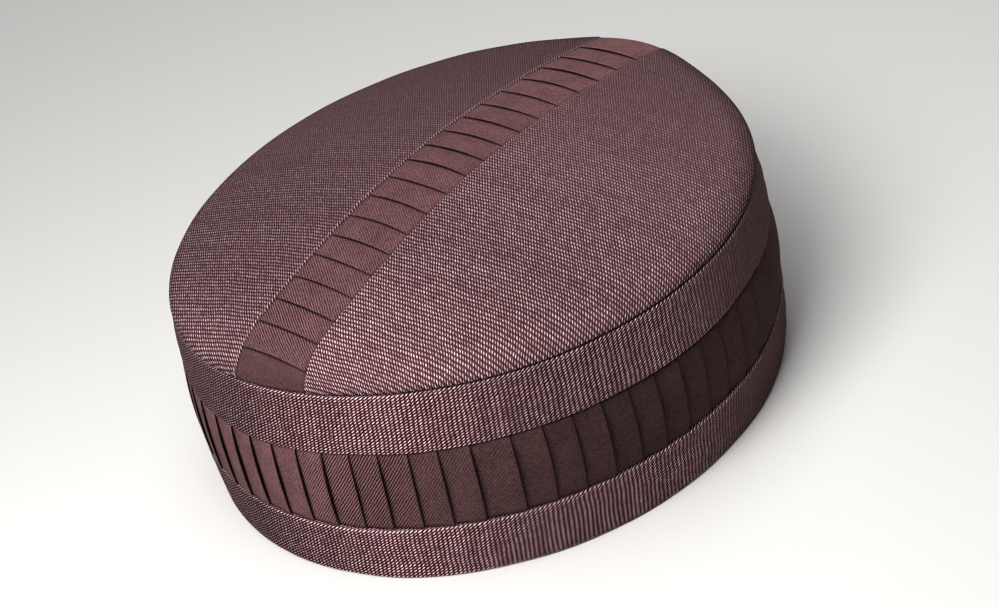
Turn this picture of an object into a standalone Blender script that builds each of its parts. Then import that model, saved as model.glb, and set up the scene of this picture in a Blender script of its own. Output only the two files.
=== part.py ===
"""Prayer cap with a flat, softly domed crown and an upright side wall.

Two crown panels are parted by a knife-pleated tape that runs from back to front.
The side wall is an upper and a lower band with the same pleated tape let in between.
Metres, +Z up. The rim rests on z = 0, the wearer's front is -Y and left is +X, and
the origin is the middle of the cap's box on the rim plane.
"""
import math

import bmesh
import bpy
import numpy as np

# Outer sizes of the cap, along Y (length) and X (width)
RIM_LENGTH = 0.1880
RIM_WIDTH = 0.1853
CROWN_LENGTH = 0.1840
CROWN_WIDTH = 0.1832

# Heights of the three rings of the side wall, from the rim up to the crown seam
LOWER_BAND_HEIGHT = 0.0177
TAPE_WIDTH = 0.0256
UPPER_BAND_HEIGHT = 0.0185

# Form of the wall and the crown
SIDE_BULGE = 0.0018      # swell of the wall halfway up
CROWN_LEAN = 0.0040      # the crown sits this far forward of the rim
SEAM_RISE = 0.0025       # the crown seam is higher in front and lower behind by this much
DOME_RISE = 0.0140       # the crown's middle above its edge
DOME_POWER = 1.80        # 2 is a round dome, 1 is a cone
EDGE_ROLL = 0.0014       # radius at which the crown rolls over towards its seam

# Cloth
CLOTH_WALL = 0.0024      # face cloth, stiffening and turnings together
EDGE_ROUND = 0.0007      # rounding of a folded cloth edge
SEAM_GAP = 0.0003        # between neighbouring pieces

# Knife-pleated tape
TAPE_RECESS = 0.0006     # the tape lies this much below the cloth beside it
PLEAT_PITCH = 0.00885    # from one fold to the next
PLEAT_LIFT = 0.0009      # height of a fold above the pleat that it covers
FOLD_WIDTH = 0.0003      # run of the step at a fold
FLAT_LIFT = 0.25         # share of the lift that is left where the tape's edges are sewn down
FIRST_FOLD = 0.0075      # first fold of the crown tape from the back seam
FRONT_PLEATS_FROM = -0.0460  # ahead of this line the crown tape's pleats are wider
FRONT_PITCH = 0.0096     # from one fold to the next there
FOLD_DIRECTION = 91.6    # degrees: one fold of the side tape lies at the back

# The tape's back end, with the panels beside it, turns to the right about the crown's middle
BACK_TURN = 4.6          # degrees at the seam
TURN_START = 0.78        # share of the way to the seam where the turn begins
TURN_REACH = 26.0        # degrees to either side of the back in which it fades

# Dents and swells of the crown's outline, which fade to none at the rim.
# direction: degrees from +X (left) towards +Y (back). reach: degrees. share: of the radius.
DENTS = (
    {"direction": 112, "reach": 32, "share": -0.038},
    {"direction": 188, "reach": 30, "share": 0.032},
    {"direction": 241, "reach": 24, "share": -0.020},
    {"direction": 270, "reach": 15, "share": 0.032},
    {"direction": 318, "reach": 30, "share": -0.012},
)

# Where the side tape's pleats are wider or narrower. share: of the pleat's width.
PLEAT_SPREAD = (
    {"direction": 71.6, "reach": 3.5, "share": 0.31},
    {"direction": 134.7, "reach": 3.5, "share": 0.40},
    {"direction": 104, "reach": 20, "share": 0.065},
    {"direction": 166, "reach": 12, "share": -0.06},
)

# How fine the solids are: shares are of the way from the tape's edge to the rolled edge
BAND_SEGMENTS = 96
PANEL_SEGMENTS = 40
TAPE_COLUMNS = 5
FACE_SHARES = (0.20, 0.42, 0.62, 0.78, 0.86, 0.93)
ROLL_DEGREES = (0, 30, 60, 90)
TAPE_SHARES = (0.0, 0.2, 0.5, 0.8, 1.0)

# Worked out from the sizes above
SEAM_HEIGHT = LOWER_BAND_HEIGHT + TAPE_WIDTH + UPPER_BAND_HEIGHT
TAPE_BOTTOM = LOWER_BAND_HEIGHT
TAPE_TOP = LOWER_BAND_HEIGHT + TAPE_WIDTH
HALF_LENGTH = CROWN_LENGTH / 2
HALF_WIDTH = CROWN_WIDTH / 2
CROWN_RADIUS = (HALF_LENGTH + HALF_WIDTH) / 2
ROLL_SHARE = EDGE_ROLL / CROWN_RADIUS
PANEL_EDGE = TAPE_WIDTH / 2 + SEAM_GAP

# Linear colour and roughness of the two cloths
HOPSACK = {"colour": (0.165, 0.090, 0.102, 1.0), "roughness": 0.85}
TWILL_TAPE = {"colour": (0.120, 0.062, 0.064, 1.0), "roughness": 0.70}


def remove_scene_objects():
    """Empties the scene."""
    for thing in list(bpy.context.scene.objects):
        bpy.data.objects.remove(thing, do_unlink=True)


def bumps(angle, table):
    """Sum over the table of share * exp(-(distance in angle / reach)^2)."""
    total = np.zeros_like(angle, dtype=float)
    for row in table:
        away = (angle - math.radians(row["direction"]) + np.pi) % (2 * np.pi) - np.pi
        total = total + row["share"] * np.exp(-(away / math.radians(row["reach"])) ** 2)
    return total


def seam_tilt(share, y):
    """Rise of a wall point over its level height: in front up, behind down, none at the rim."""
    return -SEAM_RISE * share * y / HALF_LENGTH


def wall_point(angle, height, depth):
    """Point of the side wall at a height above the rim and a depth inside its outer face.

    The half-lengths run evenly from rim to seam, and half a sine wave of swell is added.
    """
    share = height / SEAM_HEIGHT
    swell = SIDE_BULGE * np.sin(np.pi * share)
    half_x = (RIM_WIDTH + (CROWN_WIDTH - RIM_WIDTH) * share) / 2 + swell - depth
    half_y = (RIM_LENGTH + (CROWN_LENGTH - RIM_LENGTH) * share) / 2 + swell - depth
    press = 1 + bumps(angle, DENTS) * share
    x = half_x * np.cos(angle) * press
    y = half_y * np.sin(angle) * press - CROWN_LEAN * share
    return np.stack([x, y, height + seam_tilt(share, y)], axis=-1)


def crown_share(x, y):
    """How far out a point of the crown lies: 0 in its middle and 1 on its seam."""
    across = x / HALF_WIDTH
    along = (y + CROWN_LEAN) / HALF_LENGTH
    return np.hypot(across, along) / (1 + bumps(np.arctan2(along, across), DENTS))


def crown_plan(angle, share):
    """Plan point of the crown at an angle, at a share of the way from its middle to its seam."""
    press = (1 + bumps(angle, DENTS)) * share
    return HALF_WIDTH * np.cos(angle) * press, HALF_LENGTH * np.sin(angle) * press - CROWN_LEAN


def dome_height(x, y):
    """Crown face without its rolled edge: rise * (1 - share^power) above the edge."""
    dome = DOME_RISE * (1 - np.clip(crown_share(x, y), 0, 1) ** DOME_POWER)
    return SEAM_HEIGHT + seam_tilt(1, y) + EDGE_ROUND + EDGE_ROLL + dome


def flatness(x, y):
    """1 on the dome, falling in a quarter circle to 0 where the rolled edge stands upright."""
    along = np.clip((crown_share(x, y) - 1 + ROLL_SHARE) / ROLL_SHARE, 0, 1)
    return np.sqrt(1 - along ** 2)


def rolled_height(x, y):
    """Crown face with its rolled edge, which ends EDGE_ROUND above the seam."""
    return dome_height(x, y) - EDGE_ROLL * (1 - flatness(x, y))


def underside_height(x, y):
    """Hollow side of the crown, one cloth wall below its face."""
    return dome_height(x, y) - CLOTH_WALL


def seam_height(y):
    """Lower edge of the crown pieces, half a gap above the seam plane."""
    return SEAM_HEIGHT + seam_tilt(1, y) + SEAM_GAP / 2


def turn_back_end(points):
    """Turns the crown's back end about the crown's middle.

    The turn grows with the square of the share past TURN_START and fades to the sides as
    exp(-(angle from the back / reach)^2). A point keeps its share of the way to the seam.
    """
    x, y, z = np.asarray(points).T
    share = crown_share(x, y)
    angle = np.arctan2((y + CROWN_LEAN) / HALF_LENGTH, x / HALF_WIDTH)
    growth = np.clip((share - TURN_START) / (1 - TURN_START), 0, None) ** 2
    fading = np.exp(-((angle - math.pi / 2) / math.radians(TURN_REACH)) ** 2)
    turned_x, turned_y = crown_plan(angle + math.radians(BACK_TURN) * growth * fading, share)
    return np.stack([turned_x, turned_y, z + seam_tilt(1, turned_y) - seam_tilt(1, y)], axis=1)


def face_shares():
    """Crown shares of the rows between the tape's edge and the rolled edge."""
    start = PANEL_EDGE / HALF_WIDTH
    return [start + (1 - ROLL_SHARE - start) * part for part in FACE_SHARES]


def roll_shares():
    """Crown shares of the rows round the rolled edge."""
    return [1 - ROLL_SHARE * (1 - math.sin(math.radians(degrees))) for degrees in ROLL_DEGREES]


def cloth_material(name, cloth):
    """Material of one piece, from the cloth's colour and roughness."""
    material = bpy.data.materials.new(name)
    material.use_nodes = True
    shader = material.node_tree.nodes["Principled BSDF"]
    shader.inputs["Base Color"].default_value = cloth["colour"]
    shader.inputs["Roughness"].default_value = cloth["roughness"]
    shader.inputs["Metallic"].default_value = 0.0
    return material


def add_piece(name, points, faces, cloth):
    """One closed body of the points and faces, with its faces pointing out."""
    mesh = bpy.data.meshes.new(name)
    mesh.from_pydata([tuple(point) for point in points], [], faces)
    body = bmesh.new()
    body.from_mesh(mesh)
    bmesh.ops.recalc_face_normals(body, faces=body.faces)
    body.to_mesh(mesh)
    body.free()
    mesh.shade_smooth()
    mesh.set_sharp_from_angle(angle=math.radians(35))
    mesh.materials.append(cloth_material(name + "_cloth", cloth))
    piece = bpy.data.objects.new(name, mesh)
    bpy.context.scene.collection.objects.link(piece)
    return piece


def strip_faces(loops, count, closed_loops, closed_count):
    """Quads between neighbouring loops of points, each loop holding count points."""
    faces = []
    for i in range(loops if closed_loops else loops - 1):
        low, high = i * count, (i + 1) % loops * count
        for j in range(count if closed_count else count - 1):
            k = (j + 1) % count
            faces.append((low + j, low + k, high + k, high + j))
    return faces


def add_ring(name, loops, cloth):
    """Ring-shaped piece from loops of points, in order round its cross-section."""
    loops = np.array(loops)
    faces = strip_faces(len(loops), loops.shape[1], True, True)
    return add_piece(name, loops.reshape(-1, 3), faces, cloth)


def add_band(name, low, high):
    """Plain band of the wall from height low to high, with folded, rounded edges."""
    angle = np.arange(BAND_SEGMENTS) * 2 * np.pi / BAND_SEGMENTS
    middle = (low + high) / 2
    section = (
        (low, EDGE_ROUND),
        (low + EDGE_ROUND, 0.0),
        (middle, 0.0),
        (high - EDGE_ROUND, 0.0),
        (high, EDGE_ROUND),
        (high, CLOTH_WALL),
        (middle, CLOTH_WALL),
        (low, CLOTH_WALL),
    )
    return add_ring(name, [wall_point(angle, height, depth) for height, depth in section], HOPSACK)


def fold_angles():
    """Angles of the side tape's folds: even, but for the spread of the table."""
    girth = math.pi * (RIM_LENGTH + RIM_WIDTH) / 2
    pleats = round(girth / PLEAT_PITCH)
    angle = math.radians(FOLD_DIRECTION) + np.linspace(0, 2 * np.pi, 3601)
    crowding = 1 / (1 + bumps(angle, PLEAT_SPREAD))
    passed = np.concatenate([[0], np.cumsum((crowding[1:] + crowding[:-1]) / 2)])
    return np.interp(np.arange(pleats + 1) * passed[-1] / pleats, passed, angle)


def edge_lift(share):
    """Lift of a fold across the tape: least on its sewn edges, full in its middle."""
    return PLEAT_LIFT * (FLAT_LIFT + (1 - FLAT_LIFT) * np.sin(np.pi * share))


def add_side_tape(name, low, high):
    """Pleated tape round the wall: its face rises over each pleat to a fold and drops behind it."""
    folds = fold_angles()
    step = FOLD_WIDTH / PLEAT_PITCH
    station = np.array([0.0, 0.5, 1.0 - step])
    angle = (folds[:-1, None] + np.diff(folds)[:, None] * station).ravel()
    rise = np.tile(station / station[-1], len(folds) - 1)
    loops = []
    for share in TAPE_SHARES:
        depth = TAPE_RECESS - edge_lift(share) * rise
        loops.append(wall_point(angle, low + (high - low) * share, depth))
    for share in TAPE_SHARES[::-2]:
        loops.append(wall_point(angle, low + (high - low) * share, CLOTH_WALL))
    return add_ring(name, loops, TWILL_TAPE)


def panel_angles(share, side):
    """Angles of a panel row, from the tape's edge behind round the side to its edge in front.

    Where the row meets x = side * PANEL_EDGE depends on the dents there, so it is found in steps.
    """
    behind = front = 0.0
    for _ in range(20):
        ends = math.pi / 2 - side * np.array([behind, math.pi - front])
        press = 1 + bumps(ends, DENTS)
        behind, front = np.arcsin(PANEL_EDGE / (HALF_WIDTH * share * press))
    return math.pi / 2 - side * np.linspace(behind, math.pi - front, PANEL_SEGMENTS + 1)


def panel_row(share, side, height):
    """One arc of points of a panel, at a crown share, with heights from a function of x and y."""
    x, y = crown_plan(panel_angles(share, side), share)
    return np.stack([x, y, height(x, y)], axis=-1)


def add_panel(name, side):
    """Crown panel on the left (side 1) or the right (side -1) of the crown tape.

    Its rows run out over the face, round the rolled edge and back along the underside. A fan
    closes the face and the underside beside the tape's middle, and a cut face runs along it.
    """
    rows = [panel_row(share, side, rolled_height) for share in face_shares()]
    rows += [panel_row(share, side, rolled_height) for share in roll_shares()]
    for depth in (EDGE_ROUND, CLOTH_WALL):
        rows.append(panel_row(1 - depth / CROWN_RADIUS, side, lambda x, y: seam_height(y)))
    rows += [panel_row(share, side, underside_height) for share in face_shares()[::-1]]
    count = PANEL_SEGMENTS + 1
    x, y = side * PANEL_EDGE, -CROWN_LEAN
    fans = [(x, y, dome_height(x, y)), (x, y, underside_height(x, y))]
    points = np.vstack([np.array(rows).reshape(-1, 3), fans])
    face_fan, underside_fan = len(points) - 2, len(points) - 1
    last = (len(rows) - 1) * count
    faces = strip_faces(len(rows), count, False, False)
    for j in range(PANEL_SEGMENTS):
        faces.append((face_fan, j + 1, j))
        faces.append((underside_fan, last + j, last + j + 1))
    for end in (0, PANEL_SEGMENTS):
        cut = [face_fan] + [i * count + end for i in range(len(rows))] + [underside_fan]
        for i in range(len(FACE_SHARES)):
            faces.append((cut[i], cut[i + 1], cut[-2 - i], cut[-1 - i]))
        faces.append(tuple(cut[len(FACE_SHARES):-len(FACE_SHARES)]))
    return add_piece(name, turn_back_end(points), faces, HOPSACK)


def tape_end(x, share, end):
    """Y at which the line of a tape column meets a crown share, behind (end 1) or in front (-1)."""
    across = x / HALF_WIDTH
    along = end * share
    for _ in range(20):
        press = 1 + float(bumps(np.arctan2(along, across), DENTS))
        along = end * math.sqrt((share * press) ** 2 - across ** 2)
    return HALF_LENGTH * along - CROWN_LEAN


def tape_folds():
    """Y of the crown tape's folds, from behind to the front, clear of the rolled front end."""
    behind = tape_end(0, 1, 1) - FIRST_FOLD
    ahead = max(tape_end(x, 1 - ROLL_SHARE, -1) for x in (-TAPE_WIDTH / 2, TAPE_WIDTH / 2))
    narrow = np.arange(behind, FRONT_PLEATS_FROM, -PLEAT_PITCH)
    wide = np.arange(narrow[-1] - FRONT_PITCH, ahead + 3 * FOLD_WIDTH, -FRONT_PITCH)
    return np.concatenate([narrow, wide])


def tape_column(x):
    """Outline of the crown tape's section along x: its face from behind to the front, and back."""
    lift = edge_lift(x / TAPE_WIDTH + 0.5)
    folds = tape_folds()
    low_side = folds + FOLD_WIDTH / 2
    high_side = folds - FOLD_WIDTH / 2
    halfway = folds - PLEAT_PITCH / 2
    face_y = np.stack([low_side, high_side, halfway], axis=1).ravel()[:-1]
    rise = np.tile([0.0, 1.0, 0.5], len(folds))[:-1]
    edge = TAPE_RECESS / CROWN_RADIUS
    backs = np.array([tape_end(x, share - edge, 1) for share in roll_shares()])
    fronts = np.array([tape_end(x, share - edge, -1) for share in roll_shares()])
    y = np.concatenate([backs[::-1], face_y, fronts])
    rise = np.concatenate([np.zeros(len(backs)), rise, np.zeros(len(fronts))])
    wide_x, wide_y = x / (1 - edge), (y + CROWN_LEAN) / (1 - edge) - CROWN_LEAN
    recess = TAPE_RECESS * flatness(wide_x, wide_y)
    height = rolled_height(wide_x, wide_y) - recess + lift * rise
    face = np.stack([np.full_like(y, x), y, height], axis=1)
    turned = []
    for end in (-1, 1):
        for depth in (TAPE_RECESS + EDGE_ROUND, CLOTH_WALL)[::-end]:
            y = tape_end(x, 1 - depth / CROWN_RADIUS, end)
            turned.append((x, y, seam_height(y)))
    ahead = [tape_end(x, share, -1) for share in face_shares()[::-1]]
    y = np.array(ahead + [-CROWN_LEAN] + [tape_end(x, share, 1) for share in face_shares()])
    underside = np.stack([np.full_like(y, x), y, underside_height(x, y)], axis=1)
    return np.vstack([face, turned[:2], underside, turned[2:]])


def side_polygons(y, underside_count):
    """Splits a side of the tape at its underside points, each joined to the nearest face point.

    The points run over the face from behind to the front, two points down the turned front
    end, back along the underside, and two points up the turned back end.
    """
    face_count = len(y) - underside_count - 4
    under = list(range(face_count + 2, face_count + 2 + underside_count))
    marks = [int(np.argmin(abs(y[:face_count] - y[point]))) for point in under]
    polygons = [list(range(marks[0], under[0] + 1))]
    for k in range(underside_count - 1):
        polygons.append(list(range(marks[k + 1], marks[k] + 1)) + under[k:k + 2])
    polygons.append(list(range(under[-1], len(y))) + list(range(marks[-1] + 1)))
    return polygons


def add_crown_tape(name):
    """Pleated tape over the crown, whose plain ends turn down to the seam behind and in front."""
    columns = np.linspace(-TAPE_WIDTH / 2, TAPE_WIDTH / 2, TAPE_COLUMNS)
    loops = np.array([tape_column(x) for x in columns])
    count = loops.shape[1]
    faces = strip_faces(len(loops), count, False, True)
    for column in (0, len(loops) - 1):
        for polygon in side_polygons(loops[column, :, 1], 2 * len(FACE_SHARES) + 1):
            faces.append(tuple(column * count + point for point in polygon))
    return add_piece(name, turn_back_end(loops.reshape(-1, 3)), faces, TWILL_TAPE)


def centre_on_origin(pieces):
    """Moves all pieces together, so that the middle of their box in plan is the origin."""
    corners = np.array([vertex.co for piece in pieces for vertex in piece.data.vertices])
    middle = (corners.min(axis=0) + corners.max(axis=0)) / 2
    for piece in pieces:
        piece.location = (-middle[0], -middle[1], 0.0)


remove_scene_objects()
centre_on_origin([
    add_band("lower_band", 0.0, TAPE_BOTTOM - SEAM_GAP / 2),
    add_side_tape("side_tape", TAPE_BOTTOM + SEAM_GAP / 2, TAPE_TOP - SEAM_GAP / 2),
    add_band("upper_band", TAPE_TOP + SEAM_GAP / 2, SEAM_HEIGHT - SEAM_GAP / 2),
    add_panel("crown_panel_left", 1),
    add_panel("crown_panel_right", -1),
    add_crown_tape("crown_tape"),
])
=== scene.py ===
"""Prayer cap in two cloths: bands and crown panels of coarse hopsack, with knife-pleated
twill tape let in round the side and over the crown. It stands on its rim."""
import math

import bmesh
import bpy
import numpy as np
from mathutils import Matrix, Vector


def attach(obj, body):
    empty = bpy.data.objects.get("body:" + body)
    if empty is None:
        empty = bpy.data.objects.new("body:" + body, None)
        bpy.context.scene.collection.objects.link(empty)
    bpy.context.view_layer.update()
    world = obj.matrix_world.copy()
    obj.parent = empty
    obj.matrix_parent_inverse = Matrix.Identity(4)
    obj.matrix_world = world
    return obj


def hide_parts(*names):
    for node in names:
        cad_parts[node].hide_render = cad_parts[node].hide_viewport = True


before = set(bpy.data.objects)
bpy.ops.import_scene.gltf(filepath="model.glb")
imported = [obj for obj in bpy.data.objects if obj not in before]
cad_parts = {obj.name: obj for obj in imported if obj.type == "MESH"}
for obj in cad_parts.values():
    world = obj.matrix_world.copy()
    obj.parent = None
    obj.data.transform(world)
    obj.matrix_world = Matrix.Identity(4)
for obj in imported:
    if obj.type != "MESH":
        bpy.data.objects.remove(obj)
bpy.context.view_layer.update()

# Lower band
# A straight strip of hopsack, folded in at both long edges and sewn into a ring. It is the
# foot of the side wall, and the cap stands on its lower fold.

# Form of the side wall, in metres: it narrows from the rim up to the crown seam
MM = 0.001
RIM_LENGTH = 0.1880
RIM_WIDTH = 0.1853
CROWN_LENGTH = 0.1840
CROWN_WIDTH = 0.1832
SEAM_HEIGHT = 0.0618
SIDE_BULGE = 0.0018
CROWN_LEAN = 0.0040
SEAM_RISE = 0.0025
HALF_LENGTH = CROWN_LENGTH / 2

# Dents and swells of the crown's outline, which fade to none at the rim: direction from the
# cap's left towards its back, in degrees, reach in degrees, share of the radius
DENTS = np.array([
    (112, 32, -0.038),
    (188, 30, 0.032),
    (241, 24, -0.020),
    (270, 15, 0.032),
    (318, 30, -0.012),
])

# The band itself, in metres: its cloth with stiffening and turnings, the round of its folds,
# the gap that every seam keeps, and the heights of its two edges
CLOTH_WALL = 0.0024
FOLD_ROUND = 0.0007
SEAM_GAP = 0.0003
LOWER_BAND = (0.0, 0.0177 - SEAM_GAP / 2)
# Points round the ring, and how slim the strokes of its weave are
BAND_AROUND = 400
BAND_BEADING = 1.8

# The band's own ripple: waves round the cap, size in metres, start in degrees. They turn
# about the cap by this many radians for a metre of height.
RIPPLES = np.array([
    (5, 0.00012, 40),
    (9, 0.00010, 200),
    (14, 0.00008, 310),
    (23, 0.00005, 95),
])
RIPPLE_TWIST = 60

# The bands show most of their weave behind, and painted light and shade makes them lightest there
# and darker at the sides: direction, how much of the weave shows, how light the cloth is
BAND_CLEAR_AND_SHADE = np.array([
    (60, 0.45, 0.60),
    (83, 0.90, 0.68),
    (95, 1.05, 0.99),
    (105, 1.15, 1.20),
    (115, 1.10, 1.33),
    (128, 1.10, 1.14),
    (140, 0.95, 0.86),
    (155, 1.10, 0.90),
    (170, 1.00, 0.95),
    (185, 0.50, 0.70),
    (300, 0.55, 0.80),
])
# At the very fold the cloth lies half in the seam's shade, and it is clear of it soon after
FOLD_SHADE = 0.4
FOLD_SHADE_FROM_MM = -0.5
FOLD_SHADE_REACH_MM = 0.9

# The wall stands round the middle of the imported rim
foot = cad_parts["lower_band"].data
foot_points = np.empty(len(foot.vertices) * 3)
foot.vertices.foreach_get("co", foot_points)
foot_points = foot_points.reshape(-1, 3)
on_floor = foot_points[foot_points[:, 2] < 0.1 * MM]
RIM_MIDDLE = (on_floor.min(axis=0) + on_floor.max(axis=0)) / 2


def nearness(angle, direction, reach):
    """exp(-(turn / reach)^2), where turn is how far an angle is from a direction, the short
    way round. Direction and reach are in degrees."""
    turn = (angle - math.radians(direction) + np.pi) % (2 * np.pi) - np.pi
    return np.exp(-(turn / math.radians(reach)) ** 2)


def dent_share(angle):
    """Sum over the dents of share * nearness."""
    total = np.zeros_like(angle, dtype=float)
    for direction, reach, share in DENTS:
        total = total + share * nearness(angle, direction, reach)
    return total


def joined(*coordinates):
    """Points from their coordinates, which are spread over one grid."""
    return np.stack(np.broadcast_arrays(*coordinates), axis=-1)


def wall_point(angle, height, depth):
    """Point of the side wall: an ellipse that narrows evenly from rim to seam, with half a sine
    wave of swell, pressed by the dents in proportion to height, and leaning forward."""
    share = height / SEAM_HEIGHT
    swell = SIDE_BULGE * np.sin(np.pi * share)
    half_x = (RIM_WIDTH + (CROWN_WIDTH - RIM_WIDTH) * share) / 2 + swell - depth
    half_y = (RIM_LENGTH + (CROWN_LENGTH - RIM_LENGTH) * share) / 2 + swell - depth
    press = 1 + dent_share(angle) * share
    x = half_x * np.cos(angle) * press
    y = half_y * np.sin(angle) * press - CROWN_LEAN * share
    z = height - SEAM_RISE * share * y / HALF_LENGTH
    return joined(x + RIM_MIDDLE[0], y + RIM_MIDDLE[1], z)


def ripple(angle, height):
    """Sum of cosine waves round the cap, each of which turns a little with height."""
    total = np.zeros(np.broadcast(angle, height).shape)
    for waves, size, start in RIPPLES:
        turn = waves * angle + math.radians(start) + RIPPLE_TWIST * waves * height
        total = total + size * np.cos(turn)
    return total


def from_table(degrees, table, column):
    """A table's column at directions round the cap, in straight lines between its rows, the
    last of which joins up with the first."""
    return np.interp(degrees, table[:, 0], table[:, column], period=360)


def grid_quads(rows, columns, closed):
    """Point numbers and map places of a grid's quads. A closed grid joins up both ways."""
    i = np.arange(rows if closed else rows - 1)[:, None]
    j = np.arange(columns if closed else columns - 1)[None, :]
    corners = [(i, j), (i, j + 1), (i + 1, j + 1), (i + 1, j)]
    points = np.stack([a % rows * columns + b % columns for a, b in corners], axis=-1)
    places = np.stack([a * (columns + closed) + b for a, b in corners], axis=-1)
    return points.reshape(-1, 4), places.reshape(-1, 4)


def add_cloth(name, points, quads, cloth_map, material, **values):
    """Closed cloth piece: points, quads that are turned to face out by the sign of their
    volume, a map in millimetres for each corner, and named values for each point."""
    a, b, c, d = (points[quads[:, k]] for k in range(4))
    volume = np.sum(a * np.cross(b, c) + a * np.cross(c, d))
    if volume < 0:
        quads, cloth_map = quads[:, ::-1], cloth_map[:, ::-1]
    mesh = bpy.data.meshes.new(name)
    mesh.from_pydata(points.tolist(), [], quads.tolist())
    layer = mesh.uv_layers.new(name="cloth_mm")
    layer.data.foreach_set("uv", np.ascontiguousarray(cloth_map, dtype=np.float32).ravel())
    for value_name, value in values.items():
        attribute = mesh.attributes.new(value_name, "FLOAT", "POINT")
        attribute.data.foreach_set("value", np.ascontiguousarray(value, dtype=np.float32).ravel())
    merged = bmesh.new()
    merged.from_mesh(mesh)
    bmesh.ops.remove_doubles(merged, verts=merged.verts, dist=1e-7)
    merged.to_mesh(mesh)
    merged.free()
    mesh.shade_smooth()
    mesh.materials.append(material)
    piece = bpy.data.objects.new(name, mesh)
    bpy.context.scene.collection.objects.link(piece)
    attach(piece, "root")
    return piece


def srgb(code):
    """Linear colour of an sRGB hex code: a straight line near black, and a power above it."""
    parts = [int(code[k:k + 2], 16) / 255 for k in (0, 2, 4)]
    linear = [((p + 0.055) / 1.055) ** 2.4 if p > 0.04045 else p / 12.92 for p in parts]
    return (*linear, 1.0)


def add_node(material, kind, inputs=None, **settings):
    """Adds a node with its settings. Each input is a value, or another node's output to link."""
    tree = material.node_tree
    made = tree.nodes.new(kind)
    for setting, value in settings.items():
        setattr(made, setting, value)
    for socket, value in (inputs or {}).items():
        if isinstance(value, bpy.types.NodeSocket):
            tree.links.new(value, made.inputs[socket])
        else:
            made.inputs[socket].default_value = value
    return made.outputs


def bare_material(name):
    """Material whose node tree is empty."""
    material = bpy.data.materials.new(name)
    material.use_nodes = True
    material.node_tree.nodes.clear()
    return material


def thread_rows(material, place, across, sharpness):
    """Rows of threads. Their phase, in whole rows, is the map place times a vector that counts
    rows a millimetre. Their profile is half of 1 + the cosine of the phase, to a power."""
    phase = add_node(material, "ShaderNodeVectorMath", {0: place, 1: (*across, 0.0)},
                     operation="DOT_PRODUCT")["Value"]
    turn = add_node(material, "ShaderNodeMath", {0: phase, 1: 2 * math.pi}, operation="MULTIPLY")
    wave = add_node(material, "ShaderNodeMath", {0: turn[0]}, operation="COSINE")
    half = add_node(material, "ShaderNodeMath", {0: wave[0], 1: 0.5, 2: 0.5},
                    operation="MULTIPLY_ADD")
    lifted = add_node(material, "ShaderNodeMath", {0: half[0], 1: 0.0}, operation="MAXIMUM")
    profile = add_node(material, "ShaderNodeMath", {0: lifted[0], 1: sharpness}, operation="POWER")
    return phase, profile[0]


def hand_laid(material, laid, waves):
    """Map place moved by noise, as threads wander in real cloth. Each wave has a scale per
    millimetre, a detail, and a size in millimetres."""
    place = laid
    for scale, detail, size in waves:
        noise = add_node(material, "ShaderNodeTexNoise",
                         {"Vector": laid, "Scale": scale, "Detail": detail},
                         noise_dimensions="2D")
        centred = add_node(material, "ShaderNodeVectorMath",
                           {0: noise["Color"], 1: (0.5, 0.5, 0.5)}, operation="SUBTRACT")
        place = add_node(material, "ShaderNodeVectorMath",
                         {0: centred[0], 1: (size, size, 0.0), 2: place},
                         operation="MULTIPLY_ADD")[0]
    return place


def add_shares(material, start, shares):
    """A start value plus each source times its share."""
    total = start
    for source, share in shares:
        total = add_node(material, "ShaderNodeMath", {0: source, 1: share, 2: total},
                         operation="MULTIPLY_ADD")[0]
    return total


def finish_cloth(material, colour, height, strength, distance, roughness, gloss):
    """Matt cloth: its colour times the painted light and shade of its place, with its threads as
    a bump of a strength and a height in metres."""
    shade = add_node(material, "ShaderNodeAttribute", attribute_name="shade")
    shaded = add_node(material, "ShaderNodeVectorMath", {0: colour, "Scale": shade["Fac"]},
                      operation="SCALE")
    bump = add_node(material, "ShaderNodeBump",
                    {"Height": height, "Strength": strength, "Distance": distance})
    finish = add_node(material, "ShaderNodeBsdfPrincipled",
                      {"Base Color": shaded[0], "Roughness": roughness,
                       "Specular IOR Level": gloss, "Normal": bump[0]})
    add_node(material, "ShaderNodeOutputMaterial", {"Surface": finish[0]})


# Hopsack, woven two-tone: columns of a light, twisted slub yarn over a dark ground. The twist
# breaks each column into slanted strokes, and the dark ground shows as pits between them. A
# stroke is nearly white on its top, and its sides take on the red of the ground.
HOPSACK_LIGHT = "ffe4e9"
HOPSACK_SIDE = "927377"
HOPSACK_GROUND = "35090e"
# How far between ground and light the weave is in the mean, and where a yarn's side lies
MEAN_LIGHT = 0.39
SIDE_LIGHT = 0.42
# Yarns wander over centimetres, and tremble from stroke to stroke: noise scale a millimetre,
# its detail, and how many millimetres it moves them
HOPSACK_WAVES = [(0.11, 2.0, 0.8), (0.9, 1.0, 0.22)]
# How full a column is: the power of its wave
YARN_POWER = 0.6
# The plain tone of a yarn, before its own tones are added
YARN_TONE = 0.41


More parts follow.
